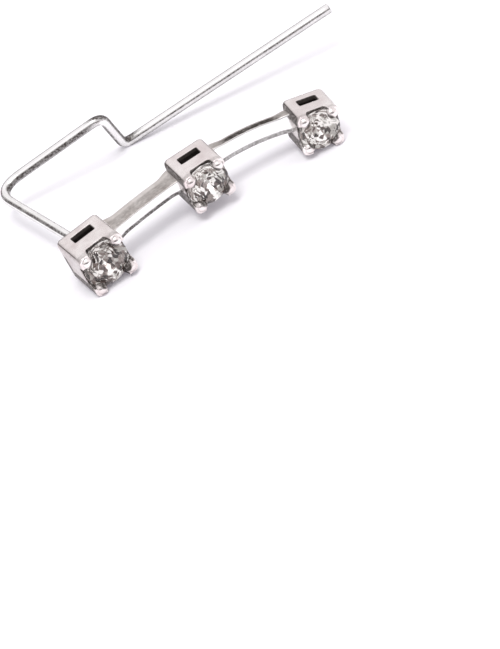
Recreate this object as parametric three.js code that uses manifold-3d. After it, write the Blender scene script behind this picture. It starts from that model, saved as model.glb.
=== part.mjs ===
// Ear cuff: three square collets, each with a round brilliant, joined in a row by two short
// arched bars, and a round ear wire soldered to the back of the largest collet.
// Millimetres, +Z up. The row of stones runs along X and the stones face -Y. The cuff lies on
// its side, on the lower edges of its outer collets and on the low bend of its wire.

import * as THREE from 'three';
import { mergeVertices } from 'three/addons/utils/BufferGeometryUtils.js';
import Module from 'manifold-3d';

const wasm = await Module();
wasm.setup();

// The row from the outer collets' backs to each other, and how far the wire's loop reaches
// behind the large collet's back
const rowLength = 20.8;
const loopReach = 13.73;

// Collets and their stones, largest first. The centre of a collet's back plate lies along the row
// at a share of its length, and out and up in millimetres. Turn is a rotation vector in degrees.
// The slot goes through the upper and lower walls, and the notch between the prongs is in all four.
const settings = [
  {
    name: 'stone_1', diameter: 3.95, depth: 4.33, slotLength: 1.93, notchWidth: 1.85, notchDepth: 1.08,
    along: -0.5115, out: 3.07, up: -0.37, turn: [-2.1, -3, 3],
  },
  {
    name: 'stone_2', diameter: 3.65, depth: 3.99, slotLength: 1.83, notchWidth: 1.76, notchDepth: 0.98,
    along: -0.005, out: 3.99, up: -0.15, turn: [0, 0, 0],
  },
  {
    name: 'stone_3', diameter: 3.45, depth: 3.82, slotLength: 1.64, notchWidth: 1.6, notchDepth: 0.86,
    along: 0.4885, out: 3.32, up: -1.52, turn: [-3.8, 12, -5.7],
  },
];

// Collet walls
const girdleInset = 0.05;
const wallThickness = 0.42;
const backPlate = 0.42;
const cornerRadius = 0.45;
const backEdgeRadius = 0.18;
const hollowCorner = 0.1;
const slotHeight = 0.9;
const slotFromBack = 0.85;
const notchFlare = 0.22;

// Prongs and seat. The land is the flat that the rounding of a prong tip leaves at its corner.
const girdleBeforeNotch = 0.25;
const prongReach = 0.3;
const prongLand = 0.03;
const seatClearance = 0.1;
const boreSides = 32;

// Bars between the collets. Inset is how far a bar's back lies before the collets' backs, lift
// how far it lies above their middle, rise how high it arches, and roll its turn in degrees.
const bars = [
  { from: 0, to: 1, thickness: 1.68, height: 1.15, inset: 0.3, lift: 0.3, rise: 0.12, roll: 0 },
  { from: 1, to: 2, thickness: 1.03, height: 1.45, inset: 0.72, lift: 0.35, rise: 0.35, roll: -12 },
];
const barEdge = 0.1;
const barSeat = 0.3;

// Ear wire: its corners after the collet's back, each with the radius of its bend, and its end.
// Along is a share of the row's length, and out a share of the loop's reach.
const wireDiameter = 0.84;
const wireSeat = 0.25;
const wireBelowCentre = 0.13;
const wireCorners = [
  { along: -0.606, out: 1, up: -1.5, bend: 1.8 },
  { along: -0.12, out: 0.843, up: 0.65, bend: 1 },
  { along: -0.061, out: 0.988, up: -4.41, bend: 0.8 },
];
const wireEnd = { along: 0.863, out: 0.633, up: -0.51 };
const wireSides = 12;
const wireSteps = 100;

const levellingTurns = 4;

// Brilliant cut, with its lengths as shares of the girdle's radius and its angles in degrees
const tableShare = 0.57;
const starShare = 0.763;
const lowerHalfShare = 0.23;
const crownAngle = 34.5;
const pavilionAngle = 40.75;
const girdleThickness = 0.16;
const mainFacets = 8;

const silver = new THREE.MeshStandardMaterial({ color: 0xd9d4d0, roughness: 0.28, metalness: 1 });
const crystal = new THREE.MeshStandardMaterial({ color: 0xe9e4de, roughness: 0.05, metalness: 0 });

const radians = THREE.MathUtils.degToRad;

// A closed geometry as a solid for cutting and joining
function solidOf(geometry) {
  const bare = geometry.index ? geometry.toNonIndexed() : geometry.clone();
  bare.deleteAttribute('normal');
  bare.deleteAttribute('uv');
  const merged = mergeVertices(bare, 1e-5);
  return new wasm.Manifold(new wasm.Mesh({
    numProp: 3,
    vertProperties: new Float32Array(merged.attributes.position.array),
    triVerts: new Uint32Array(merged.index.array),
  }));
}

function geometryOf(solid) {
  const mesh = solid.getMesh();
  const geometry = new THREE.BufferGeometry();
  geometry.setAttribute('position', new THREE.BufferAttribute(new Float32Array(mesh.vertProperties), 3));
  geometry.setIndex(new THREE.BufferAttribute(new Uint32Array(mesh.triVerts), 1));
  const faceted = geometry.toNonIndexed();
  faceted.computeVertexNormals();
  return faceted;
}

function joined(solids) {
  return solids.reduce((sum, next) => sum.add(next));
}

// A rounded square about the origin
function roundedSquare(width, radius) {
  const half = width / 2;
  const middle = half - radius;
  const shape = new THREE.Shape();
  shape.moveTo(-middle, -half);
  shape.lineTo(middle, -half);
  shape.absarc(middle, -middle, radius, -Math.PI / 2, 0);
  shape.lineTo(half, middle);
  shape.absarc(middle, middle, radius, 0, Math.PI / 2);
  shape.lineTo(-middle, half);
  shape.absarc(-middle, middle, radius, Math.PI / 2, Math.PI);
  shape.lineTo(-half, -middle);
  shape.absarc(-middle, -middle, radius, Math.PI, 1.5 * Math.PI);
  return shape;
}

// A rounded square block whose ends are rounded over too, from y = -start to y = -end
function roundedBlock(width, radius, endRound, start, end) {
  const geometry = new THREE.ExtrudeGeometry(roundedSquare(width, radius), {
    depth: end - start - 2 * endRound,
    curveSegments: 2,
    bevelSize: endRound,
    bevelThickness: endRound,
    bevelOffset: -endRound,
    bevelSegments: 3,
  });
  return solidOf(geometry.translate(0, 0, start + endRound).rotateX(Math.PI / 2));
}

// Everything on the far side of a plane that faces away from the stone's axis: tilt is measured
// from the girdle's plane, and the plane passes through the point at the given radius and height
function facetCut(size, tilt, azimuth, radius, height) {
  const block = new THREE.BoxGeometry(2 * size, 2 * size, size).translate(0, 0, size / 2);
  block.rotateY(tilt).translate(radius, 0, height).rotateZ(azimuth);
  return solidOf(block);
}

// Round brilliant about its girdle's centre, with its table facing -Y
function brilliant(diameter) {
  const radius = diameter / 2;
  const step = 2 * Math.PI / mainFacets;
  const crown = radians(crownAngle);
  const pavilion = radians(pavilionAngle);
  const edge = girdleThickness / 2;
  const tableTop = edge + radius * (1 - tableShare) * Math.tan(crown);
  const culet = edge + radius * Math.tan(pavilion);
  const crownDrop = (starShare * Math.cos(step / 2) - tableShare) * Math.tan(crown) * radius;
  const star = Math.atan(crownDrop / ((starShare - tableShare * Math.cos(step / 2)) * radius));
  const halfAcross = Math.cos(step / 4);
  const upperHalf = Math.atan((tableTop - edge - crownDrop) / ((1 - starShare) * halfAcross * radius));
  const lowerDrop = (1 - lowerHalfShare * Math.cos(step / 2)) * Math.tan(pavilion);
  const lowerHalf = Math.atan(lowerDrop / ((1 - lowerHalfShare) * halfAcross));
  const blank = new THREE.CylinderGeometry(radius, radius, tableTop + culet, 4 * mainFacets);
  let stone = solidOf(blank.rotateY(step / 4).rotateX(Math.PI / 2).translate(0, 0, (tableTop - culet) / 2));
  const cut = (tilt, azimuth, at, height) => {
    stone = stone.subtract(facetCut(2 * diameter, tilt, azimuth, at, height));
  };
  for (let i = 0; i < mainFacets; i += 1) {
    cut(crown, i * step, radius, edge);
    cut(star, (i + 0.5) * step, tableShare * radius * Math.cos(step / 2), tableTop);
    cut(Math.PI - pavilion, i * step, radius, -edge);
    for (const side of [0.25, 0.75]) {
      cut(upperHalf, (i + side) * step, radius * halfAcross, edge);
      cut(Math.PI - lowerHalf, (i + side) * step, radius * halfAcross, -edge);
    }
  }
  return stone.rotate([90, 0, 0]);
}

// Where the girdle's plane lies along Y, from the collet's back
function girdleOffset({ depth, notchDepth }) {
  return -(depth - notchDepth + girdleBeforeNotch);
}

// Outside width of the square collet
function colletWidth(setting) {
  return setting.diameter + 2 * girdleInset;
}

function placement(setting) {
  const turn = new THREE.Vector3(...setting.turn).multiplyScalar(Math.PI / 180);
  const angle = turn.length();
  const quaternion = new THREE.Quaternion().setFromAxisAngle(angle ? turn.normalize() : turn.set(0, 0, 1), angle);
  const back = new THREE.Vector3(setting.along * rowLength, setting.out, setting.up);
  return new THREE.Matrix4().compose(back, quaternion, new THREE.Vector3(1, 1, 1));
}

function moved(solid, matrix) {
  return solid.transform(matrix.elements);
}

// A notch that widens towards the prong tips, cut right through the collet along Z
function notch(setting) {
  const { depth, notchDepth, notchWidth } = setting;
  const across = colletWidth(setting);
  const half = notchWidth / 2;
  const shape = new THREE.Shape();
  shape.moveTo(-half, -(depth - notchDepth));
  shape.lineTo(-half - 2 * notchFlare, -(depth + notchDepth));
  shape.lineTo(half + 2 * notchFlare, -(depth + notchDepth));
  shape.lineTo(half, -(depth - notchDepth));
  const geometry = new THREE.ExtrudeGeometry(shape, { depth: 2 * across, bevelEnabled: false });
  return geometry.translate(0, 0, -across);
}

function collet(setting) {
  const { depth, diameter, notchDepth, slotLength } = setting;
  const width = colletWidth(setting);
  const shoulder = depth - notchDepth;
  const body = roundedBlock(width, cornerRadius, backEdgeRadius, 0, 2 * depth);
  const front = roundedBlock(width, cornerRadius, cornerRadius - prongLand, -depth, depth);
  const hollow = new THREE.ExtrudeGeometry(
    roundedSquare(width - 2 * wallThickness, hollowCorner),
    { depth: shoulder - backPlate, curveSegments: 1, bevelEnabled: false },
  );
  const boreRadius = diameter / 2 - prongReach;
  const bore = new THREE.CylinderGeometry(boreRadius, boreRadius, 2 * notchDepth, boreSides);
  const seat = brilliant(diameter + 2 * seatClearance).translate([0, girdleOffset(setting), 0]);
  const slot = new THREE.BoxGeometry(slotLength, slotHeight, 2 * width);
  return body.intersect(front)
    .subtract(solidOf(hollow.translate(0, 0, backPlate).rotateX(Math.PI / 2)))
    .subtract(solidOf(bore.translate(0, -depth, 0)))
    .subtract(solidOf(notch(setting)))
    .subtract(solidOf(notch(setting).rotateY(Math.PI / 2)))
    .subtract(solidOf(slot.translate(0, -slotFromBack - slotHeight / 2, 0)))
    .subtract(seat);
}

// An arched bar from the wall of one collet to the wall of the next
function bar({ from, to, thickness, height, inset, lift, rise, roll }) {
  const ends = [[from, 1], [to, -1]].map(([index, side]) => {
    const across = side * (colletWidth(settings[index]) / 2 - barSeat);
    return new THREE.Vector3(across, -inset - thickness / 2, lift).applyMatrix4(placement(settings[index]));
  });
  const along = ends[1].clone().sub(ends[0]);
  const half = along.length() / 2;
  along.normalize();
  const backward = [from, to].reduce((sum, index) => {
    return sum.add(new THREE.Vector3(0, 1, 0).transformDirection(placement(settings[index])));
  }, new THREE.Vector3());
  backward.addScaledVector(along, -backward.dot(along)).normalize().applyAxisAngle(along, radians(roll));
  const upward = along.clone().cross(backward);
  const shape = new THREE.Shape();
  shape.moveTo(-half, -height / 2);
  shape.quadraticCurveTo(0, -height / 2 + 2 * rise, half, -height / 2);
  shape.lineTo(half, height / 2);
  shape.quadraticCurveTo(0, height / 2 + 2 * rise, -half, height / 2);
  const geometry = new THREE.ExtrudeGeometry(shape, {
    depth: thickness - 2 * barEdge,
    curveSegments: 8,
    bevelSize: barEdge,
    bevelThickness: barEdge,
    bevelOffset: -barEdge,
    bevelSegments: 1,
  });
  geometry.translate(0, 0, barEdge - thickness / 2);
  const middle = ends[0].clone().add(ends[1]).multiplyScalar(0.5);
  const basis = new THREE.Matrix4().makeBasis(along, upward, backward.clone().negate()).setPosition(middle);
  return solidOf(geometry.applyMatrix4(basis));
}

function routePoint({ along, out, up }) {
  return new THREE.Vector3(along * rowLength, settings[0].out + out * loopReach, up);
}

// The wire's centre line: straight legs with rounded bends between them
function wirePath() {
  const start = new THREE.Vector3(0, -wireSeat, -wireBelowCentre).applyMatrix4(placement(settings[0]));
  const points = [start, ...wireCorners.map(routePoint), routePoint(wireEnd)];
  const path = new THREE.CurvePath();
  let from = start;
  wireCorners.forEach(({ bend }, i) => {
    const corner = points[i + 1];
    const inward = points[i].clone().sub(corner).normalize();
    const outward = points[i + 2].clone().sub(corner).normalize();
    const reach = bend / Math.tan(inward.angleTo(outward) / 2);
    const before = corner.clone().addScaledVector(inward, reach);
    const after = corner.clone().addScaledVector(outward, reach);
    path.add(new THREE.LineCurve3(from, before));
    path.add(new THREE.QuadraticBezierCurve3(before, corner, after));
    from = after;
  });
  path.add(new THREE.LineCurve3(from, points.at(-1)));
  return path;
}

function earWire() {
  const section = new THREE.Shape();
  section.absarc(0, 0, wireDiameter / 2, 0, 2 * Math.PI);
  return solidOf(new THREE.ExtrudeGeometry(section, {
    steps: wireSteps,
    curveSegments: wireSides / 2,
    extrudePath: wirePath(),
  }));
}

function silverFrame() {
  const collets = settings.map((setting) => moved(collet(setting), placement(setting)));
  return geometryOf(joined([...collets, ...bars.map(bar), earWire()]));
}

// Turns and lifts the cuff until its lowest points under the two outer collets and under the
// wire all lie on the plane z = 0, and centres it over the origin. Each turn can make another
// point the lowest, so it is done a few times.
function layDown(group) {
  const place = new THREE.Matrix4();
  const points = [];
  group.updateMatrixWorld(true);
  group.traverse((mesh) => {
    const position = mesh.isMesh ? mesh.geometry.attributes.position : { count: 0 };
    for (let i = 0; i < position.count; i += 1) {
      points.push(new THREE.Vector3().fromBufferAttribute(position, i).applyMatrix4(mesh.matrixWorld));
    }
  });
  const middle = settings[1];
  const wireSide = settings[0].out + wireDiameter;
  const zones = [
    (p) => p.y < wireSide && p.x < middle.along * rowLength,
    (p) => p.y < wireSide && p.x > middle.along * rowLength,
    (p) => p.y > middle.out + wireDiameter,
  ].map((test) => points.filter(test));
  for (let turn = 0; turn < levellingTurns; turn += 1) {
    const [left, right, behind] = zones.map((zone) => zone
      .map((p) => p.clone().applyMatrix4(place))
      .reduce((lowest, p) => (p.z < lowest.z ? p : lowest)));
    const normal = right.clone().sub(left).cross(behind.clone().sub(left)).normalize();
    const level = new THREE.Quaternion().setFromUnitVectors(normal, new THREE.Vector3(0, 0, 1));
    place.premultiply(new THREE.Matrix4().makeRotationFromQuaternion(level));
  }
  const bounds = new THREE.Box3().setFromPoints(points.map((p) => p.clone().applyMatrix4(place)));
  const centre = bounds.getCenter(new THREE.Vector3());
  place.premultiply(new THREE.Matrix4().makeTranslation(-centre.x, -centre.y, -bounds.min.z));
  group.applyMatrix4(place);
}

const cuff = new THREE.Group();

const frame = new THREE.Mesh(silverFrame(), silver);
frame.name = 'silver_frame';
cuff.add(frame);

for (const setting of settings) {
  const stone = new THREE.Mesh(geometryOf(brilliant(setting.diameter)), crystal);
  stone.name = setting.name;
  stone.applyMatrix4(placement(setting).multiply(new THREE.Matrix4().makeTranslation(0, girdleOffset(setting), 0)));
  cuff.add(stone);
}

layDown(cuff);

export default cuff;
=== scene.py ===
from __future__ import annotations

import logging
import math
from collections.abc import Callable
from dataclasses import dataclass
from enum import Enum
from random import Random

import bmesh
import bpy
from mathutils import Matrix, Vector


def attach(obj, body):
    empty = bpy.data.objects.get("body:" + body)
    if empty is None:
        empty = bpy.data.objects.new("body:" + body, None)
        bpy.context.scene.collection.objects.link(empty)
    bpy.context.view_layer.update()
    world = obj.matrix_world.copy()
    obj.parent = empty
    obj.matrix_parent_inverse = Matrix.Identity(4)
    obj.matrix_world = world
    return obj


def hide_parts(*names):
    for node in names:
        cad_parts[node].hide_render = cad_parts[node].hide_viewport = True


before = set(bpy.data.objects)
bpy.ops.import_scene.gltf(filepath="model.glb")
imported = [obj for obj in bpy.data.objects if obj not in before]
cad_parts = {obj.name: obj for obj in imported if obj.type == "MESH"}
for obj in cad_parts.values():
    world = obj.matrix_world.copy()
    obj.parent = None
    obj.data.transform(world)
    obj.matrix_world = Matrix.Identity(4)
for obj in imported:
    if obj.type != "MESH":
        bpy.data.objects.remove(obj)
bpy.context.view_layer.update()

log = logging.getLogger("ear_cuff")

# Pieces are made in millimetres and settled in metres
MM = 0.001
# The table's upward direction in the row of stones as it was drawn, and where the row's origin lies
ROW_UP = Vector((0.03791, 0.1089, 0.99333))
ROW_ORIGIN = Vector((-2.6495, -7.9484, 2.8664))
# Values that are painted on the meshes for the finishes: painted shade and dark reflections with
# tarnishing, and the stones' sparkle
PAINTED_SHADE_AND_TARNISH = "painted_shade_and_tarnish"
SPARKLE = "sparkle"
# Waves or cells per metre of the finishes' noises
CLOUDS = 700
MARKS = 6000
WISPS = 900
DRIFT = 1300
GLINTS = 3200
# The Mix node's colour sockets
MIX_FIRST, MIX_SECOND, MIX_RESULT = 6, 7, 2
# Levels nearer than this count as one
TOUCH = 1e-4
# Points that a cut leaves nearer than this are merged
MERGE = 1e-5
# An edge longer than this runs along a piece, not round it
LONG = 1
# Half the width over which a painted strip fades at its edge
SOFT = 0.1
# Main facets round a stone's crown or pavilion, and sides of the blank that it is cut from
MAIN_FACETS = 8
BLANK_SIDES = 96
# Steps along the ear wire, in each leg before a bend, in a bend and in the last leg
LEG_STEPS = 12
BEND_STEPS = 16
LAST_LEG_STEPS = 16


def lying() -> Matrix:
    """Turns the row of stones as it was drawn into the cuff as it lies on the table.

    Returns:
        The placing in millimetres.
    """
    turn = ROW_UP.normalized().rotation_difference(Vector((0, 0, 1)))
    return Matrix.Translation(ROW_ORIGIN) @ turn.to_matrix().to_4x4()


class Domain(Enum):
    """What a painted value belongs to."""

    POINT = "POINT"
    FACE = "FACE"


class Joining(Enum):
    """How a solid takes up another."""

    ADD = "UNION"
    CUT = "DIFFERENCE"


class Value:
    """A number or socket in a node tree, with its arithmetic as Math nodes."""

    def __init__(self, tree: Tree, source: object) -> None:
        """Holds a socket or a plain number."""
        self.tree = tree
        self.source = source

    def _math(self, operation: str, first: object, second: object) -> Value:
        """Adds one Math node.

        Args:
            operation: the Math node's operation.
            first: the first operand, a Value or a number.
            second: the second operand, a Value or a number.

        Returns:
            The node's result.
        """
        made = self.tree.add("ShaderNodeMath", {"operation": operation}, {0: first, 1: second})
        return Value(self.tree, made.outputs[0])

    def __add__(self, other: object) -> Value:
        """Sum."""
        return self._math("ADD", self, other)

    def __radd__(self, other: object) -> Value:
        """Sum, reflected."""
        return self._math("ADD", other, self)

    def __sub__(self, other: object) -> Value:
        """Difference."""
        return self._math("SUBTRACT", self, other)

    def __rsub__(self, other: object) -> Value:
        """Difference, reflected."""
        return self._math("SUBTRACT", other, self)

    def __mul__(self, other: object) -> Value:
        """Product."""
        return self._math("MULTIPLY", self, other)

    def __rmul__(self, other: object) -> Value:
        """Product, reflected."""
        return self._math("MULTIPLY", other, self)


class Tree:
    """A node tree under construction."""

    def __init__(self, nodes: bpy.types.NodeTree) -> None:
        """Empties the tree and starts on it."""
        self.nodes = nodes
        nodes.nodes.clear()

    def add(self, kind: str, settings: dict | None = None, sockets: dict | None = None) -> bpy.types.Node:
        """Adds a node.

        Args:
            kind: the node's type.
            settings: attributes set first; "stops" gives a ramp's (place, colour) pairs.
            sockets: values, Values or sockets by input name or number.

        Returns:
            The node.
        """
        node = self.nodes.nodes.new(kind)
        for name, value in (settings or {}).items():
            if name == "stops":
                self._stops(node.color_ramp, value)
            else:
                setattr(node, name, value)
        for key, value in (sockets or {}).items():
            self._feed(node.inputs[key], value)
        return node

    def _feed(self, socket: bpy.types.NodeSocket, value: object) -> None:
        """Links or sets one input.

        Args:
            socket: the input.
            value: a Value, a socket, or a plain value.
        """
        source = value.source if isinstance(value, Value) else value
        if isinstance(source, bpy.types.NodeSocket):
            self.nodes.links.new(source, socket)
        else:
            socket.default_value = source

    @staticmethod
    def _stops(ramp: bpy.types.ColorRamp, stops: list) -> None:
        """Sets a ramp's stops.

        Args:
            ramp: the ramp.
            stops: (place, colour) pairs in order.
        """
        while len(ramp.elements) < len(stops):
            ramp.elements.new(1)
        for element, (place, colour) in zip(ramp.elements, stops):
            element.position = place
            element.color = (*colour, 1)

    def place(self) -> bpy.types.NodeSocket:
        """Gives the place on the object, in metres."""
        return self.add("ShaderNodeTexCoord").outputs["Object"]

    def painted(self, name: str) -> Value:
        """Gives a value that is painted on the mesh."""
        return Value(self, self.add("ShaderNodeAttribute", {"attribute_name": name}).outputs["Fac"])

    def mix(self, share: Value, first: object, second: object) -> bpy.types.NodeSocket:
        """Blends two colours.

        Args:
            share: how much of the second colour there is.
            first: one colour or its socket.
            second: the other.

        Returns:
            The blend.
        """
        sockets = {"Factor": share, MIX_FIRST: first, MIX_SECOND: second}
        return self.add("ShaderNodeMix", {"data_type": "RGBA"}, sockets).outputs[MIX_RESULT]

    def noise(
        self, coordinates: object, scale: float, detail: float = 3, stretch: tuple = (1, 1, 1),
    ) -> Value:
        """Adds a noise on stretched coordinates.

        Args:
            coordinates: the coordinate socket.
            scale: waves per metre.
            detail: the noise's detail.
            stretch: how much each axis is squeezed.

        Returns:
            The noise, from 0 to 1.
        """
        mapped = self.add("ShaderNodeMapping", sockets={"Vector": coordinates, "Scale": stretch})
        made = self.add(
            "ShaderNodeTexNoise",
            sockets={"Vector": mapped.outputs[0], "Scale": scale, "Detail": detail},
        )
        return Value(self, made.outputs["Fac"])


@dataclass(frozen=True)
class Finish:
    """A look that a piece is given.

    Attributes:
        name: the material's name.
    """

    name: str

    def make(self) -> bpy.types.Material:
        """Makes the material.

        Returns:
            The material.
        """
        material = bpy.data.materials.new(self.name)
        material.use_nodes = True
        tree = Tree(material.node_tree)
        shader = self._shader(tree)
        tree.add("ShaderNodeOutputMaterial", None, {"Surface": shader.outputs[0]})
        return material

    def _shader(self, tree: Tree) -> bpy.types.Node:
        """Adds the shader, which each kind of finish has of its own."""
        raise NotImplementedError


@dataclass(frozen=True)
class Silver(Finish):
    """Silver, polished or brushed, with a faint cast skin, darkened where the mesh says so by painted
    shade, painted dark reflections and tarnishing.

    Attributes:
        light: its colour where it is cleanest.
        dull: its colour where it is a little dull.
        shade_and_tarnish_colour: its colour where the mesh paints shade and tarnishing.
        gloss: the roughness where it is cleanest.
        haze: how much the roughness grows where it is dull.
        grain: how deep the fine marks are, in metres.
        stretch: how the marks are drawn out along each axis.
    """

    light: tuple = (1.0, 0.99, 0.98)
    dull: tuple = (0.88, 0.87, 0.86)
    shade_and_tarnish_colour: tuple = (0.075, 0.065, 0.06)
    gloss: float = 0.10
    haze: float = 0.10
    grain: float = 0.000006
    stretch: tuple = (1, 1, 1)

    def _shader(self, tree: Tree) -> bpy.types.Node:
        """Adds the shader of clean silver, darkened by the painted shade and tarnishing.

        Args:
            tree: the material's nodes.

        Returns:
            The shader.
        """
        place = tree.place()
        clouds = tree.noise(place, CLOUDS, 4)
        marks = tree.noise(place, MARKS, 3, self.stretch)
        clean = tree.add(
            "ShaderNodeValToRGB", {"stops": [(0.35, self.light), (0.75, self.dull)]}, {0: clouds},
        )
        # The painted value holds painted shade and painted dark reflections as well as tarnishing
        darkening = tree.painted(PAINTED_SHADE_AND_TARNISH)
        streaked_darkening = darkening * (1.5 * marks + 0.5 * clouds)
        bump = tree.add("ShaderNodeBump", None, {
            "Strength": 0.5, "Distance": self.grain, "Height": marks,
        })
        return tree.add("ShaderNodeBsdfPrincipled", None, {
            "Base Color": tree.mix(streaked_darkening, clean.outputs[0], (*self.shade_and_tarnish_colour, 1)),
            "Metallic": 1.0 - 0.6 * darkening,
            "Specular IOR Level": 0.2,
            "Roughness": self.gloss + self.haze * (0.6 * clouds + 0.4 * marks) + 0.3 * darkening,
            "Normal": bump.outputs[0],
        })


@dataclass(frozen=True)
class Brilliance(Finish):
    """Clear cut stone.

    Attributes:
        index: its refractive index.
        tint: its body colour.
    """

    name: str = "clear_stone"
    index: float = 1.6
    tint: tuple = (0.98, 0.96, 0.96)

    def _shader(self, tree: Tree) -> bpy.types.Node:
        """Adds the shader of the clear stone."""
        wisps = tree.noise(tree.place(), WISPS, 2)
        return tree.add("ShaderNodeBsdfPrincipled", None, {
            "Base Color": tree.mix(wisps, (*self.tint, 1), (1, 1, 1, 1)),
            "Roughness": 0.004 * wisps,
            "IOR": self.index,
            "Transmission Weight": 1.0,
        })


@dataclass(frozen=True)
class PaintedGlints(Finish):
    """The back facets of a cut stone, painted with glints that glow, standing in for the light that a
    stone returns through its front.

    Attributes:
        shades: the painted glints' colours, from the darkest to the brightest, with each one's place.
    """

    name: str = "painted_glowing_glints"
    shades: tuple = (
        (0.32, (0.03, 0.022, 0.02)), (0.42, (0.13, 0.095, 0.085)), (0.51, (0.31, 0.26, 0.245)),
        (0.60, (0.50, 0.49, 0.465)), (0.70, (1.0, 0.98, 0.97)),
    )

    def _shader(self, tree: Tree) -> bpy.types.Node:
        """Adds the shader of small painted glints that glow, drawn from cells, from each facet and from a
        slow drift.

        Args:
            tree: the material's nodes.

        Returns:
            The shader.
        """
        place = tree.place()
        drift = tree.noise(place, DRIFT, 1)
        cells = tree.add("ShaderNodeTexVoronoi", {"feature": "SMOOTH_F1"}, {
            "Vector": place, "Scale": GLINTS, "Smoothness": 0.15,
        })
        parts = tree.add("ShaderNodeSeparateColor", None, {0: cells.outputs["Color"]})
        glint = Value(tree, parts.outputs[0])
        shade = tree.add("ShaderNodeValToRGB", {"stops": list(self.shades)}, {
            0: 0.55 * glint + 0.25 * tree.painted(SPARKLE) + 0.2 * drift,
        })
        return tree.add("ShaderNodeBsdfPrincipled", None, {
            "Base Color": shade.outputs[0],
            "Metallic": 0.5,
            "Roughness": 0.2 + 0.1 * drift,
            # The painted glints glow by their own emission, standing in for light returned by the stone
            "Emission Color": shade.outputs[0],
            "Emission Strength": 0.45,
        })


@dataclass(frozen=True)
class Tabletop(Finish):
    """The plain pale table.

    Attributes:
        colour: its colour.
        glow: the colour of the light that it gives itself.
    """

    name: str = "pale_table"
    colour: tuple = (0.86, 0.855, 0.87)
    glow: tuple = (0.88, 0.82, 1.0)

    def _shader(self, tree: Tree) -> bpy.types.Node:
        """Adds the shader of the matt table."""
        return tree.add("ShaderNodeBsdfPrincipled", None, {
            "Base Color": (*self.colour, 1), "Roughness": 0.9, "Specular IOR Level": 0.1,
            "Emission Color": (*self.glow, 1), "Emission Strength": 0.1,
        })


def ramp(value: float, start: float, end: float) -> float:
    """Rises smoothly from 0 at start to 1 at end.

    Args:
        value: where it is read.
        start: where it leaves 0.
        end: where it reaches 1, which may be the lesser.

    Returns:
        The height there.
    """
    share = min(max((value - start) / (end - start), 0), 1)
    return share * share * (3 - 2 * share)


def paint(piece: bpy.types.Object, name: str, domain: Domain, values: list[float]) -> None:
    """Paints a value on each point or face of a piece.

    Args:
        piece: the piece.
        name: the value's name.
        domain: what each value belongs to.
        values: the values, in order.
    """
    layer = piece.data.attributes.new(name, "FLOAT", domain.value)
    layer.data.foreach_set("value", values)


def painted_shade_and_tarnish(piece: bpy.types.Object, rule: Callable[[Vector, Vector], float]) -> None:
    """Paints how dark a piece is, point by point, with painted shade, painted dark reflections and
    tarnishing.

    Args:
        piece: the piece.
        rule: gives the darkening from a point's place in millimetres and its normal.
    """
    values = [min(max(rule(vert.co, vert.normal), 0), 1) for vert in piece.data.vertices]
    paint(piece, PAINTED_SHADE_AND_TARNISH, Domain.POINT, values)


def store(mesh: bmesh.types.BMesh, name: str, *materials: bpy.types.Material) -> bpy.types.Object:
    """Makes an object of a bmesh and frees the bmesh.

    Args:
        mesh: the shape.
        name: the object's name.
        materials: its material slots in order.

    Returns:
        The object, linked to the scene.
    """
    bmesh.ops.recalc_face_normals(mesh, faces=mesh.faces)
    data = bpy.data.meshes.new(name)
    mesh.to_mesh(data)
    mesh.free()
    for material in materials:
        data.materials.append(material)
    made = bpy.data.objects.new(name, data)
    bpy.context.scene.collection.objects.link(made)
    return made


def block(width: float, length: float, height: float, centre: Vector) -> bmesh.types.BMesh:
    """Makes a box.

    Args:
        width: its size along X.
        length: its size along Y.
        height: its size along Z.
        centre: its centre.

    Returns:
        The box.
    """
    mesh = bmesh.new()
    bmesh.ops.create_cube(mesh, size=1)
    bmesh.ops.scale(mesh, vec=(width, length, height), verts=mesh.verts)
    bmesh.ops.translate(mesh, vec=centre, verts=mesh.verts)
    return mesh


def quarter_turn(mesh: bmesh.types.BMesh, axis: str) -> None:
    """Turns a shape by a right angle about the named axis."""
    turn = Matrix.Rotation(math.pi / 2, 3, axis)
    bmesh.ops.rotate(mesh, cent=(0, 0, 0), matrix=turn, verts=mesh.verts)


def runs_along(edge: bmesh.types.BMEdge, axis: int) -> bool:
    """Tells whether an edge is a long one along an axis, 0 for X, 1 for Y and 2 for Z."""
    return abs(edge.verts[0].co[axis] - edge.verts[1].co[axis]) > LONG


def round_edges(mesh: bmesh.types.BMesh, edges: list, width: float, segments: int) -> None:
    """Rounds edges of a shape.

    Args:
        mesh: the shape.
        edges: the edges to round.
        width: the rounding's radius.
        segments: its number of steps.
    """
    bmesh.ops.bevel(
        mesh, geom=edges, offset=width, offset_type="OFFSET", segments=segments,
        profile=0.5, affect="EDGES", material=-1,
    )


def shape_of(source: bpy.types.Object) -> bpy.types.Mesh:
    """Applies an object's modifiers.

    Args:
        source: the object.

    Returns:
        A new mesh of its final shape.
    """
    seen = bpy.context.evaluated_depsgraph_get()
    seen.update()
    return bpy.data.meshes.new_from_object(source.evaluated_get(seen))


def combine(body: bpy.types.Object, tool: bpy.types.Object, joining: Joining) -> None:
    """Adds a solid to a body or cuts it out of the body.

    Args:
        body: the body that changes.
        tool: the other solid, which is removed afterwards.
        joining: what is done with it.
    """
    step = body.modifiers.new("combine", "BOOLEAN")
    step.operation = joining.value
    step.solver = "EXACT"
    step.object = tool
    result = shape_of(body)
    body.modifiers.clear()
    body.data = result
    bpy.data.objects.remove(tool)


def settle(piece: bpy.types.Object, place: Matrix, smooth: bool = True) -> bpy.types.Object:
    """Puts a piece where it belongs, in metres, and lets it ride on the frame.

    Args:
        piece: the piece, made in millimetres about its own origin.
        place: its place in the row of stones, in millimetres.
        smooth: whether its faces are shaded smooth.

    Returns:
        The piece.
    """
    piece.data.transform(Matrix.Scale(MM, 4) @ lying() @ place)
    for face in piece.data.polygons:
        face.use_smooth = smooth
    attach(piece, "root")
    return piece


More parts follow.
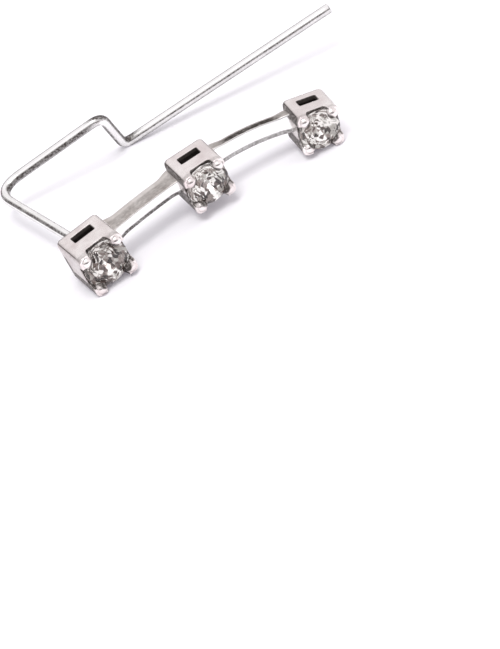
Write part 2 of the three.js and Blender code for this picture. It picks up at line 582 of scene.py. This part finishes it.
@dataclass
class Brilliant:
    """Round brilliant about its girdle's centre, with its table facing -Y.

    Attributes:
        diameter: the girdle's diameter.
        table: the table's share of the girdle's radius.
        star: where the star facets end, as a share of that radius.
        lower_half: how near the lower halves come to the culet, as a share of it too.
        crown_angle: the crown's angle in degrees.
        pavilion_angle: the pavilion's angle in degrees.
        girdle: the girdle's thickness.
    """

    diameter: float
    table: float = 0.57
    star: float = 0.763
    lower_half: float = 0.23
    crown_angle: float = 34.5
    pavilion_angle: float = 40.75
    girdle: float = 0.1

    @staticmethod
    def _cut(mesh: bmesh.types.BMesh, tilt: float, azimuth: float, radius: float, height: float) -> None:
        """Grinds one facet.

        Args:
            mesh: the stone, with its table facing +Z.
            tilt: the facet's tilt from the girdle's plane.
            azimuth: its direction round the axis.
            radius: distance from the axis of a point on it.
            height: height of that point.
        """
        turn = Matrix.Rotation(azimuth, 3, "Z")
        normal = turn @ Vector((math.sin(tilt), 0, math.cos(tilt)))
        point = turn @ Vector((radius, 0, height))
        done = bmesh.ops.bisect_plane(
            mesh, geom=[*mesh.verts, *mesh.edges, *mesh.faces], dist=MERGE,
            plane_co=point, plane_no=normal, clear_outer=True,
        )
        rim = [e for e in done["geom_cut"] if isinstance(e, bmesh.types.BMEdge) and e.is_boundary]
        if rim:
            bmesh.ops.edgeloop_fill(mesh, edges=rim)

    def mesh(self) -> bmesh.types.BMesh:
        """Cuts the stone.

        Returns:
            The stone, with its table facing -Y.
        """
        radius = self.diameter / 2
        step = 2 * math.pi / MAIN_FACETS
        edge = self.girdle / 2
        crown = math.radians(self.crown_angle)
        pavilion = math.radians(self.pavilion_angle)
        top = edge + radius * (1 - self.table) * math.tan(crown)
        across = math.cos(step / 4)
        drop = (self.star * math.cos(step / 2) - self.table) * math.tan(crown) * radius
        star = math.atan(drop / ((self.star - self.table * math.cos(step / 2)) * radius))
        upper = math.atan((top - edge - drop) / ((1 - self.star) * across * radius))
        lower_drop = (1 - self.lower_half * math.cos(step / 2)) * math.tan(pavilion)
        lower = math.atan(lower_drop / ((1 - self.lower_half) * across))
        mesh = bmesh.new()
        culet = edge + radius * math.tan(pavilion)
        bmesh.ops.create_cone(
            mesh, cap_ends=True, segments=BLANK_SIDES, radius1=radius, radius2=radius, depth=top + culet,
            matrix=Matrix.Translation((0, 0, (top - culet) / 2)),
        )
        for i in range(MAIN_FACETS):
            self._cut(mesh, crown, i * step, radius, edge)
            self._cut(mesh, math.pi - pavilion, i * step, radius, -edge)
            self._cut(mesh, star, (i + 0.5) * step, self.table * radius * math.cos(step / 2), top)
            for side in (0.25, 0.75):
                self._cut(mesh, upper, (i + side) * step, radius * across, edge)
                self._cut(mesh, math.pi - lower, (i + side) * step, radius * across, -edge)
        quarter_turn(mesh, "X")
        return mesh


@dataclass
class Collet:
    """Square prong collet, open at its slots, with a closed back at its origin, facing -Y.

    Attributes:
        number: its number along the row, 1 for the largest.
        diameter: its stone's diameter.
        depth: from its back to the prong tips.
        slot_length: the slot's length.
        notch_width: the notch's width at its bottom.
        notch_depth: from the prong tips to the notch's bottom.
        back: the centre of its back in the row of stones.
        turn: its rotation vector in degrees.
        seed: what its stone's sparkle is drawn from.
        strips: where its left side is painted dark as shade, as lower and upper heights from its bottom.
        fire: the least and the most painted sparkle of its stone's back facets.
        girdle_inset: how far the girdle lies inside the walls' outer faces.
        wall: the thickness of its walls.
        plate: the thickness of its back.
        corner: the radius of the corners between its walls.
        back_edge: the radius of the edge round its back.
        slot_height: the slot's size from back to front.
        slot_from_back: from the back to the slot.
        notch_flare: how much the notch has widened to each side at the prong tips.
        notch_corner: the radius of the corners at the notch's bottom.
        girdle_before_notch: how far the girdle lies before the notch's bottom.
        prong: the radius of the prongs.
        prong_lean: how far the prongs lean inwards.
        prong_root: how much more than the notch's depth the prongs are drawn out.
        prong_proud: how far the prongs' roots stand out of the walls.
        prong_free: how far the prong tips stand out before the block that they are added to.
        seat: the clearance round the stone.
        shell: how deep the outer finish reaches inwards.
        skin: the size of the steps that the cast surface is built in.
    """

    number: int
    diameter: float
    depth: float
    slot_length: float
    notch_width: float
    notch_depth: float
    back: tuple
    turn: tuple
    seed: int
    strips: tuple
    fire: tuple = (0, 1)
    girdle_inset: float = 0.05
    wall: float = 0.42
    plate: float = 0.42
    corner: float = 0.45
    back_edge: float = 0.28
    slot_height: float = 0.9
    slot_from_back: float = 0.85
    notch_flare: float = 0.22
    notch_corner: float = 0.16
    girdle_before_notch: float = 0.25
    prong: float = 0.5
    prong_lean: float = 0.1
    prong_root: float = 0.5
    prong_proud: float = 0.01
    prong_free: float = 0.3
    seat: float = 0.03
    shell: float = 0.12
    skin: float = 0.05

    @property
    def width(self) -> float:
        """Outside width of the collet."""
        return self.diameter + 2 * self.girdle_inset

    @property
    def shoulder(self) -> float:
        """From the back to the notch's bottom."""
        return self.depth - self.notch_depth

    @property
    def girdle(self) -> Vector:
        """Centre of the stone's girdle."""
        return Vector((0, -(self.shoulder + self.girdle_before_notch), 0))

    def place(self) -> Matrix:
        """Gives the collet's place in the row of stones.

        Returns:
            The placing in millimetres.
        """
        turn = Vector(self.turn)
        angle = math.radians(turn.length)
        axis = turn.normalized() if angle else Vector((0, 0, 1))
        return Matrix.Translation(self.back) @ Matrix.Rotation(angle, 4, axis)

    def _body(self) -> bmesh.types.BMesh:
        """Makes the solid block with its rounded corners.

        Returns:
            The block.
        """
        length = self.depth - self.prong_free
        mesh = block(self.width, length, self.width, Vector((0, -length / 2, 0)))
        round_edges(mesh, [e for e in mesh.edges if runs_along(e, 1)], self.corner, segments=6)
        rim = [e for e in mesh.edges if all(v.co.y > -TOUCH for v in e.verts)]
        round_edges(mesh, rim, self.back_edge, segments=3)
        return mesh

    def _notch(self, turned: bool) -> bmesh.types.BMesh:
        """Makes the cutter of the notches in two opposite walls.

        Args:
            turned: whether it cuts the left and right walls.

        Returns:
            The cutter.
        """
        centre = Vector((0, -self.depth, 0))
        mesh = block(self.notch_width, 2 * self.notch_depth, 2 * self.width, centre)
        for vert in mesh.verts:
            if vert.co.y < -self.depth:
                vert.co.x += math.copysign(2 * self.notch_flare, vert.co.x)
        bottom = [
            e for e in mesh.edges
            if all(v.co.y > -self.shoulder - TOUCH for v in e.verts) and runs_along(e, 2)
        ]
        round_edges(mesh, bottom, self.notch_corner, segments=3)
        if turned:
            quarter_turn(mesh, "Y")
        return mesh

    def _prong(self, side: int, level: int) -> bmesh.types.BMesh:
        """Makes one round-tipped prong.

        Args:
            side: -1 or 1 along X.
            level: -1 or 1 along Z.

        Returns:
            The prong.
        """
        mesh = bmesh.new()
        radius = self.prong
        bmesh.ops.create_uvsphere(mesh, u_segments=24, v_segments=16, radius=radius)
        quarter_turn(mesh, "X")
        drawn_out = self.notch_depth + self.prong_root
        root = Vector((side * self.prong_lean, drawn_out, level * self.prong_lean))
        for vert in mesh.verts:
            if vert.co.y > TOUCH:
                vert.co += root
        reach = self.width / 2 - radius - self.prong_lean + self.prong_proud
        spot = Vector((side * reach, -(self.depth - radius), level * reach))
        bmesh.ops.translate(mesh, vec=spot, verts=mesh.verts)
        return mesh

    def _hollow(self) -> bmesh.types.BMesh:
        """Makes the cutter of the room behind the stone.

        Returns:
            The cutter.
        """
        inner = self.width - 2 * self.wall
        depth = self.shoulder - self.plate
        overlap = 0.1
        centre = Vector((0, -self.plate - depth / 2 - overlap, 0))
        return block(inner, depth + 2 * overlap, inner, centre)

    def _slot(self) -> bmesh.types.BMesh:
        """Makes the cutter of the slots in the upper and lower walls."""
        centre = Vector((0, -self.slot_from_back - self.slot_height / 2, 0))
        return block(self.slot_length, self.slot_height, 2 * self.width, centre)

    def _seat(self) -> bmesh.types.BMesh:
        """Makes the cutter of the stone's seat."""
        mesh = Brilliant(self.diameter + 2 * self.seat).mesh()
        bmesh.ops.translate(mesh, vec=self.girdle, verts=mesh.verts)
        return mesh

    def _cast(self, body: bpy.types.Object) -> None:
        """Gives the collet the soft edges of a casting.

        Args:
            body: the collet.
        """
        cast = body.modifiers.new("cast", "REMESH")
        cast.mode = "VOXEL"
        cast.voxel_size = self.skin
        soft = body.modifiers.new("soft", "SMOOTH")
        soft.factor = 0.5
        soft.iterations = 3
        body.data = shape_of(body)
        body.modifiers.clear()

    def _within(self, spot: Vector) -> bool:
        """Tells whether a place lies deeper than the outer finish reaches."""
        across = max(abs(spot.x), abs(spot.z))
        return -self.shoulder < spot.y < -self.shell and across < self.width / 2 - self.shell

    def build(self, silver: bpy.types.Material, inside: bpy.types.Material) -> bpy.types.Object:
        """Makes the collet.

        Args:
            silver: its finish.
            inside: the finish of its hollow, dark silver that stands for painted shade.

        Returns:
            The collet, settled in place.
        """
        body = store(self._body(), f"collet_{self.number}")
        for turned in (False, True):
            combine(body, store(self._notch(turned), "cutter"), Joining.CUT)
        for side in (-1, 1):
            for level in (-1, 1):
                combine(body, store(self._prong(side, level), "prong"), Joining.ADD)
        for cutter in (self._hollow(), self._slot(), self._seat()):
            combine(body, store(cutter, "cutter"), Joining.CUT)
        self._cast(body)
        for finish in (silver, inside):
            body.data.materials.append(finish)
        for face in body.data.polygons:
            face.material_index = int(self._within(face.center))
        painted_shade_and_tarnish(body, self._painted_shade_and_tarnish)
        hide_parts("silver_frame")
        return settle(body, self.place())

    def _painted_shade_and_tarnish(self, spot: Vector, normal: Vector) -> float:
        """Tells how dark the collet is painted: painted shade and dark reflections on its left side,
        under it, in its notches and on its prongs, and a faint darkening over its walls.

        Args:
            spot: a point on it.
            normal: the surface's normal there.

        Returns:
            The painted darkening, 0 to 1.
        """
        above = spot.z + self.width / 2
        before = -spot.y
        # Painted shade: the left side and its strips, the under side, the notch bottoms and the prongs'
        # sides and inner faces are darkened
        left = ramp(-normal.x, 0.4, 0.8) * ramp(before, self.depth - 0.3, self.depth - 0.6)
        dark = max(
            ramp(above, low - SOFT, low + SOFT) * ramp(above, high + SOFT, high - SOFT)
            for low, high in self.strips
        )
        behind = ramp(before, 1.1, 0.7) * ramp(above, 0.8 * self.width, 0.6 * self.width)
        under = 0.6 * ramp(-normal.z, 0.3, 0.9)
        wall = 0.12 * ramp(before, self.depth - 0.4, self.depth - 0.8)
        bottom = 0.9 * ramp(-normal.y, 0.3, 0.7) * ramp(before, self.depth - 0.5, self.depth - 0.8)
        prongs = 0.35 * ramp(before, self.shoulder, self.shoulder + 0.3) * ramp(-normal.y, 0.75, 0.35)
        inward = -(normal.x * spot.x + normal.z * spot.z) / max(math.hypot(spot.x, spot.z), 0.1)
        facing = 0.95 * ramp(inward, 0.05, 0.4) * ramp(before, self.shoulder - 0.2, self.shoulder + 0.1)
        side = left * max(0.35, 0.9 * dark, 0.9 * behind)
        return max(side, under, wall, bottom, prongs, facing)

    def stone(self, crystal: bpy.types.Material, light: bpy.types.Material) -> bpy.types.Object:
        """Makes the collet's stone.

        Args:
            crystal: the finish of its crown and girdle.
            light: the finish of its back facets, painted with glints that glow.

        Returns:
            The stone, settled in place.
        """
        mesh = Brilliant(self.diameter).mesh()
        bmesh.ops.translate(mesh, vec=self.girdle, verts=mesh.verts)
        made = store(mesh, f"brilliant_{self.number}", crystal, light)
        draw = Random(self.seed)
        paint(made, SPARKLE, Domain.FACE, [draw.uniform(*self.fire) for _ in made.data.polygons])
        turned_back = 0.1
        for face in made.data.polygons:
            face.material_index = int(face.normal.y > turned_back)
        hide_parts(f"stone_{self.number}")
        return settle(made, self.place(), smooth=False)


@dataclass
class Bar:
    """Arched bar between two collets.

    Attributes:
        number: its number along the row.
        start: the collet at its left end.
        end: the collet at its right end.
        thickness: its size from front to back.
        height: its size from top to bottom.
        inset: how far its back lies before the collets' backs.
        lift: how far it lies above the collets' middle.
        rise: how high it arches.
        roll: its turn about its length, in degrees.
        darkening: how far its top is darkened by tarnishing at its ends and at its middle.
        line: how dark its front is painted along its lower edge, as painted shade.
        edge: the radius of its long edges.
        into: how far its ends reach into the collets.
        shade: how far the painted shade along its lower edge reaches up.
        fade: how far it fades out above that.
        flare: how much the soldered ends widen.
        lighter_from: where its top begins and ends to turn lighter, as shares of its thickness from its
            middle towards its back.
    """

    number: int
    start: Collet
    end: Collet
    thickness: float
    height: float
    inset: float
    lift: float
    rise: float
    roll: float
    darkening: tuple
    line: float
    edge: float = 0.12
    into: float = 0.3
    shade: float = 0.34
    fade: float = 0.06
    flare: float = 0.25
    lighter_from: tuple = (0.12, 0.25)

    def _ends(self) -> list[Vector]:
        """Finds the ends of its centre line, inside the collets.

        Returns:
            The left and the right end, in the row of stones.
        """
        ends = []
        for collet, side in ((self.start, 1), (self.end, -1)):
            across = side * (collet.width / 2 - self.into)
            ends.append(collet.place() @ Vector((across, -self.inset - self.thickness / 2, self.lift)))
        return ends

    def _turn(self, along: Vector) -> Matrix:
        """Turns the bar along its span, with its back between the collets' backs but for its roll.

        Args:
            along: the direction of its span.

        Returns:
            The turn.
        """
        backward = Vector((0, 0, 0))
        for collet in (self.start, self.end):
            backward += collet.place().to_3x3() @ Vector((0, 1, 0))
        backward = (backward - along * backward.dot(along)).normalized()
        backward = Matrix.Rotation(math.radians(self.roll), 3, along) @ backward
        return Matrix((along, backward, along.cross(backward))).transposed().to_4x4()

    def _mesh(self, span: float) -> bmesh.types.BMesh:
        """Makes the arched bar along X, with edges where its painted shade and its top's lighter back
        begin and end.

        Args:
            span: its length.

        Returns:
            The bar.
        """
        mesh = block(span, self.thickness, self.height, Vector((0, 0, 0)))
        round_edges(mesh, [e for e in mesh.edges if runs_along(e, 0)], self.edge, segments=4)
        levels = (self.shade, self.shade + self.fade)
        planes = [((0, 0, level - self.height / 2), (0, 0, 1)) for level in levels]
        planes += [((0, share * self.thickness, 0), (0, 1, 0)) for share in self.lighter_from]
        for point, normal in planes:
            bmesh.ops.bisect_plane(
                mesh, geom=[*mesh.verts, *mesh.edges, *mesh.faces], plane_co=point, plane_no=normal,
            )
        lengths = [e for e in mesh.edges if runs_along(e, 0)]
        bmesh.ops.subdivide_edges(mesh, edges=lengths, cuts=31, use_grid_fill=True)
        for vert in mesh.verts:
            along_bar = 2 * vert.co.x / span
            solder = 1 + self.flare * ramp(abs(along_bar), 0.6, 0.95)
            vert.co.y *= solder
            vert.co.z = max(vert.co.z, vert.co.z * solder) + self.rise * (1 - along_bar ** 2)
        mesh.normal_update()
        turned_up = 0.75
        for face in mesh.faces:
            face.material_index = 0 if abs(face.normal.z) > turned_up else 1
        return mesh

    def build(self, brushed: bpy.types.Material, polished: bpy.types.Material) -> bpy.types.Object:
        """Makes the bar.

        Args:
            brushed: the finish of its top and under side.
            polished: the finish of its front and back.

        Returns:
            The bar, settled in place.
        """
        left, right = self._ends()
        span = (right - left).length
        made = store(self._mesh(span), f"bar_{self.number}", brushed, polished)
        painted_shade_and_tarnish(made, lambda spot, normal: self._painted_shade_and_tarnish(spot, normal, span))
        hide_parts("silver_frame")
        middle = Matrix.Translation((left + right) / 2)
        return settle(made, middle @ self._turn((right - left).normalized()))

    def _painted_shade_and_tarnish(self, spot: Vector, normal: Vector, span: float) -> float:
        """Tells how dark the bar is painted: painted shade along its lower edge, and tarnishing over its
        top, less towards its back.

        Args:
            spot: a point on it.
            normal: the surface's normal there.
            span: the bar's length.

        Returns:
            The painted darkening, 0 to 1.
        """
        along = 2 * spot.x / span
        level = spot.z - self.rise * (1 - along ** 2) + self.height / 2
        ends, middle = self.darkening
        top = (middle + (ends - middle) * ramp(abs(along), 0.45, 0.85)) * ramp(normal.z, 0.5, 0.9)
        start, end = self.lighter_from
        top *= 1 - 0.75 * ramp(spot.y, start * self.thickness, end * self.thickness)
        # The dark line along the lower edge is painted shade
        return max(top, self.line * ramp(level, self.shade + self.fade, self.shade))


@dataclass
class EarWire:
    """Round wire from the large collet's back, with straight legs and rounded bends.

    Attributes:
        collet: the collet that it is soldered to.
        diameter: the wire's diameter.
        seat: how far it reaches into the collet's back.
        below_centre: how far below the back's centre it is soldered.
        corners: each corner of its path, with the radius of its bend and the side of its spot of painted
            shade.
        end: where it ends.
        sides: how many sides its round shape has.
        chamfer: the size of the chamfer at its free end, as a share of its radius.
    """

    collet: Collet
    diameter: float = 0.84
    seat: float = 0.25
    below_centre: float = 0.13
    corners: tuple = (
        ((-12.6, 16.8, -1.5), 1.8, (0.7, -0.7, 0)),
        ((-2.49, 14.64, 0.65), 1.0, (0.7, 0, 0.7)),
        ((-1.26, 16.63, -4.41), 0.8, (0.5, -0.3, 0.8)),
    )
    end: tuple = (17.95, 11.76, -0.51)
    sides: int = 48
    chamfer: float = 0.15

    def route(self) -> list[Vector]:
        """Gives the wire's centre line.

        Returns:
            Points along it, close together in the bends.
        """
        start = self.collet.place() @ Vector((0, -self.seat, -self.below_centre))
        points = [start, *(Vector(at) for at, _, _ in self.corners), Vector(self.end)]
        line = [start]
        for i, (_, bend, _) in enumerate(self.corners, start=1):
            corner = points[i]
            inward = (points[i - 1] - corner).normalized()
            outward = (points[i + 1] - corner).normalized()
            reach = bend / math.tan(inward.angle(outward) / 2)
            before, after = corner + inward * reach, corner + outward * reach
            line += self._straight(line[-1], before, LEG_STEPS)
            for k in range(1, BEND_STEPS + 1):
                t = k / BEND_STEPS
                line.append(before * (1 - t) ** 2 + corner * 2 * t * (1 - t) + after * t ** 2)
        return line + self._straight(line[-1], points[-1], LAST_LEG_STEPS)

    @staticmethod
    def _straight(start: Vector, end: Vector, steps: int) -> list[Vector]:
        """Goes straight from one point to another.

        Args:
            start: where it starts, which isn't among the points.
            end: where it ends.
            steps: the number of equal steps.

        Returns:
            The points on the way.
        """
        gap = end - start
        return [start + gap * k / steps for k in range(1, steps + 1)]

    def build(self, silver: bpy.types.Material) -> bpy.types.Object:
        """Makes the wire by drawing a ring along its centre line.

        Args:
            silver: its finish.

        Returns:
            The wire, settled in place.
        """
        line = self.route()
        radius = self.diameter / 2
        chamfer = self.chamfer * radius
        line[-1] -= (line[-1] - line[-2]).normalized() * chamfer
        heading = (line[1] - line[0]).normalized()
        mesh = bmesh.new()
        ring = bmesh.ops.create_circle(mesh, cap_ends=False, segments=self.sides, radius=radius)["verts"]
        turn = Vector((0, 0, 1)).rotation_difference(heading).to_matrix()
        bmesh.ops.rotate(mesh, cent=(0, 0, 0), matrix=turn, verts=ring)
        bmesh.ops.translate(mesh, vec=line[0], verts=ring)
        start = list(mesh.edges)
        edges = start
        for before, at, after in zip(line, line[1:], line[2:] + [None]):
            ahead = (at - before).normalized()
            target = (ahead + (after - at).normalized()).normalized() if after else ahead
            edges, _ = self._step(mesh, edges, before, at, heading, target)
            heading = target
        tip = line[-1] + heading * chamfer
        edges, ring = self._step(mesh, edges, line[-1], tip, heading, heading)
        narrower = (1 - self.chamfer,) * 3
        bmesh.ops.scale(mesh, vec=narrower, space=Matrix.Translation(-tip), verts=ring)
        for rim in (edges, start):
            bmesh.ops.edgeloop_fill(mesh, edges=rim)
        made = store(mesh, "ear_wire", silver)
        painted_shade_and_tarnish(made, self._painted_shade_and_tarnish)
        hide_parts("silver_frame")
        return settle(made, Matrix.Identity(4))

    def _painted_shade_and_tarnish(self, spot: Vector, normal: Vector) -> float:
        """Tells how dark the wire is painted: painted reflection lines along its legs, and painted shade
        on its under side and at its bends.

        Args:
            spot: a point on it.
            normal: the surface's normal there.

        Returns:
            The painted darkening, 0 to 1.
        """
        # Painted reflections and shade: dark lines along the legs where they would mirror dark
        # surroundings, and a darker under side
        down = -normal.dot(ROW_UP)
        (left, behind, _), (right, _, _), (low, _, _) = (at for at, _, _ in self.corners)
        near_leg = ramp(spot.y, behind - 1, behind - 2.5) * ramp(spot.x, left + 3, left + 2.5)
        far_leg = ramp(spot.x, left, left + 1) * ramp(spot.x, right, right - 2)
        far_leg *= ramp(spot.y, behind - 4, behind - 2.5)
        short_leg = ramp(abs(spot.x - (right + low) / 2), 1.1, 0.8)
        long_leg = ramp(spot.x, low - 0.5, low + 0.3)
        outside = 0.85 * ramp(-normal.x, 0.3, 0.5) * ramp(-normal.x, 0.9, 0.8)
        near = near_leg * max(outside, 0.5 * ramp(normal.x, 0.8, 0.9))
        far = 0.85 * far_leg * ramp(down, -0.6, -0.45) * ramp(down, 0.5, 0.3)
        short = short_leg * (0.1 + 0.8 * ramp(abs(normal.x), 0.4, 0.7))
        long = 0.85 * long_leg * ramp(down, -0.5, -0.4) * ramp(down, -0.15, -0.25)
        under = (1 - short_leg) * (0.25 * ramp(down, -0.35, -0.2) + 0.4 * ramp(down, 0.3, 0.5))
        upper = 0.4 * max(far_leg, long_leg) * ramp(normal.y, 0, 0.3)
        # Painted shade in the inside of each bend
        bend_shade_spots = (
            ramp((spot - Vector(at)).length, 1.2 + 0.45 * bend, 0.6 + 0.45 * bend)
            * ramp(normal.dot(Vector(side)), 0.3, 0.75)
            for at, bend, side in self.corners
        )
        return max(under, upper, near, far, short, long, *bend_shade_spots)

    @staticmethod
    def _step(
        mesh: bmesh.types.BMesh, edges: list, before: Vector, at: Vector, heading: Vector, target: Vector,
    ) -> tuple[list, list]:
        """Draws the ring one step on.

        Args:
            mesh: the wire so far.
            edges: the ring's edges.
            before: the ring's centre.
            at: its next centre.
            heading: the direction that it faces.
            target: the direction that it faces next.

        Returns:
            The new ring's edges and vertices.
        """
        made = bmesh.ops.extrude_edge_only(mesh, edges=edges)["geom"]
        ring = [g for g in made if isinstance(g, bmesh.types.BMVert)]
        rim = [g for g in made if isinstance(g, bmesh.types.BMEdge) and all(v in ring for v in g.verts)]
        turn = heading.rotation_difference(target).to_matrix()
        bmesh.ops.rotate(mesh, cent=before, matrix=turn, verts=ring)
        bmesh.ops.translate(mesh, vec=at - before, verts=ring)
        return rim, ring


@dataclass
class Studio:
    """Pale table, soft light and the camera.

    Attributes:
        right: the picture's right, in the row of stones.
        up: the picture's up.
        toward: from the cuff to the camera.
        offset: the camera's place along those three, in millimetres.
        lens: the focal length for a 36 mm sensor along the picture's long side.
    """

    right: tuple = (0.820, -0.468, -0.330)
    up: tuple = (0.545, 0.460, 0.702)
    toward: tuple = (-0.177, -0.755, 0.632)
    offset: tuple = (2.93, -10.89, 360.63)
    lens: float = 255.0

    def camera(self) -> None:
        """Places the camera."""
        turn = lying().to_3x3()
        toward = (turn @ Vector(self.toward)).normalized()
        up = turn @ Vector(self.up)
        right = up.cross(toward).normalized()
        up = toward.cross(right)
        spot = lying() @ (
            Vector(self.right) * self.offset[0] + Vector(self.up) * self.offset[1]
            + Vector(self.toward) * self.offset[2]
        )
        data = bpy.data.cameras.new("camera")
        data.lens = self.lens
        data.sensor_width = 36
        data.clip_start = 0.01
        data.clip_end = 20
        made = bpy.data.objects.new("camera", data)
        basis = Matrix((right, up, toward)).transposed().to_4x4()
        made.matrix_world = Matrix.Translation(spot * MM) @ basis
        bpy.context.scene.collection.objects.link(made)
        bpy.context.scene.camera = made

    @staticmethod
    def table(finish: bpy.types.Material) -> None:
        """Lays the table.

        Args:
            finish: its material.
        """
        mesh = bmesh.new()
        bmesh.ops.create_grid(mesh, x_segments=1, y_segments=1, size=2)
        made = store(mesh, "table", finish)

    @staticmethod
    def light(name: str, spot: tuple, size: float, power: float) -> None:
        """Hangs a square soft light that faces the cuff.

        Args:
            name: its name.
            spot: its place in metres.
            size: its side in metres.
            power: its power in watts.
        """
        data = bpy.data.lights.new(name, "AREA")
        data.size = size
        data.energy = power
        made = bpy.data.objects.new(name, data)
        made.location = spot
        made.rotation_euler = Vector(spot).to_track_quat("Z", "Y").to_euler()
        bpy.context.scene.collection.objects.link(made)

    @staticmethod
    def air() -> None:
        """Sets the light from all round: pale above and far to the sides, dim elsewhere."""
        world = bpy.data.worlds.new("studio")
        bpy.context.scene.world = world
        world.use_nodes = True
        tree = Tree(world.node_tree)
        way = tree.add("ShaderNodeTexCoord").outputs["Generated"]
        parts = tree.add("ShaderNodeSeparateXYZ", None, {0: way}).outputs
        across, height = Value(tree, parts["X"]), Value(tree, parts["Z"])
        tone = tree.add("ShaderNodeValToRGB", {"stops": [
            (0.0, (0.06, 0.055, 0.055)), (0.34, (0.11, 0.10, 0.10)),
            (0.47, (0.9, 0.88, 0.89)), (0.8, (0.98, 0.96, 0.98)),
        ]}, {0: height + across * (0.2 + 0.55 * across)})
        back = tree.add("ShaderNodeBackground", None, {"Color": tone.outputs[0], "Strength": 1.0})
        tree.add("ShaderNodeOutputWorld", None, {"Surface": back.outputs[0]})

    def build(self) -> None:
        """Sets up the whole studio."""
        self.camera()
        self.table(Tabletop().make())
        self.light("overhead", (-0.04, -0.12, 0.30), 0.12, 0.48)
        self.air()
        bpy.context.scene.view_settings.view_transform = "Standard"


def main() -> None:
    """Builds the cuff and the studio."""
    logging.basicConfig(level=logging.INFO, format="%(name)s: %(message)s")
    Studio().build()
    polished = Silver("polished_silver").make()
    satin = Silver(
        "satin_silver", light=(0.98, 0.93, 0.91), dull=(0.78, 0.69, 0.68), gloss=0.16, haze=0.16,
    ).make()
    brushed = Silver(
        "brushed_silver", light=(0.82, 0.78, 0.75), dull=(0.58, 0.53, 0.50),
        shade_and_tarnish_colour=(0.045, 0.038, 0.034), gloss=0.30, haze=0.3, grain=0.00004, stretch=(0.7, 1, 1),
    ).make()
    # The silver inside the collets is given dark colours: painted shade in the hollows
    hollow = Silver(
        "painted_shade_hollow", light=(0.20, 0.17, 0.16), dull=(0.09, 0.075, 0.07), gloss=0.4, haze=0.3,
    ).make()
    crystal = Brilliance().make()
    glints = PaintedGlints().make()
    collets = [
        Collet(
            number=1, diameter=3.95, depth=4.33, slot_length=1.93, notch_width=1.85, notch_depth=1.08,
            back=(-10.639, 3.07, -0.37), turn=(-2.1, -3, 3), seed=1, strips=((0, 1.3),), fire=(0.2, 0.85),
        ),
        Collet(
            number=2, diameter=3.65, depth=3.99, slot_length=1.83, notch_width=1.76, notch_depth=0.98,
            back=(-0.104, 3.99, -0.15), turn=(0, 0, 0), seed=2, strips=((0, 1.9), (2.8, 3.8)),
            fire=(0.1, 1),
        ),
        Collet(
            number=3, diameter=3.45, depth=3.82, slot_length=1.64, notch_width=1.6, notch_depth=0.86,
            back=(10.161, 3.32, -1.52), turn=(-3.8, 12, -5.7), seed=3, strips=((0, 1.3), (2.6, 3.6)),
            fire=(0, 0.9),
        ),
    ]
    bars = [
        Bar(
            number=1, start=collets[0], end=collets[1], thickness=1.68, height=1.15, inset=0.3,
            lift=0.3, rise=0.12, roll=0, darkening=(0.4, 0.42), line=0.85,
        ),
        Bar(
            number=2, start=collets[1], end=collets[2], thickness=1.03, height=1.45, inset=0.72,
            lift=0.35, rise=0.35, roll=-12, darkening=(0.4, 1), line=0.65,
        ),
    ]
    pieces = []
    for collet in collets:
        pieces += [collet.build(satin, hollow), collet.stone(crystal, glints)]
    for bar in bars:
        pieces.append(bar.build(brushed, polished))
    pieces.append(EarWire(collets[0]).build(polished))
    for piece in pieces:
        log.info("%s: %d faces", piece.name, len(piece.data.polygons))


if __name__ == "__main__":
    main()
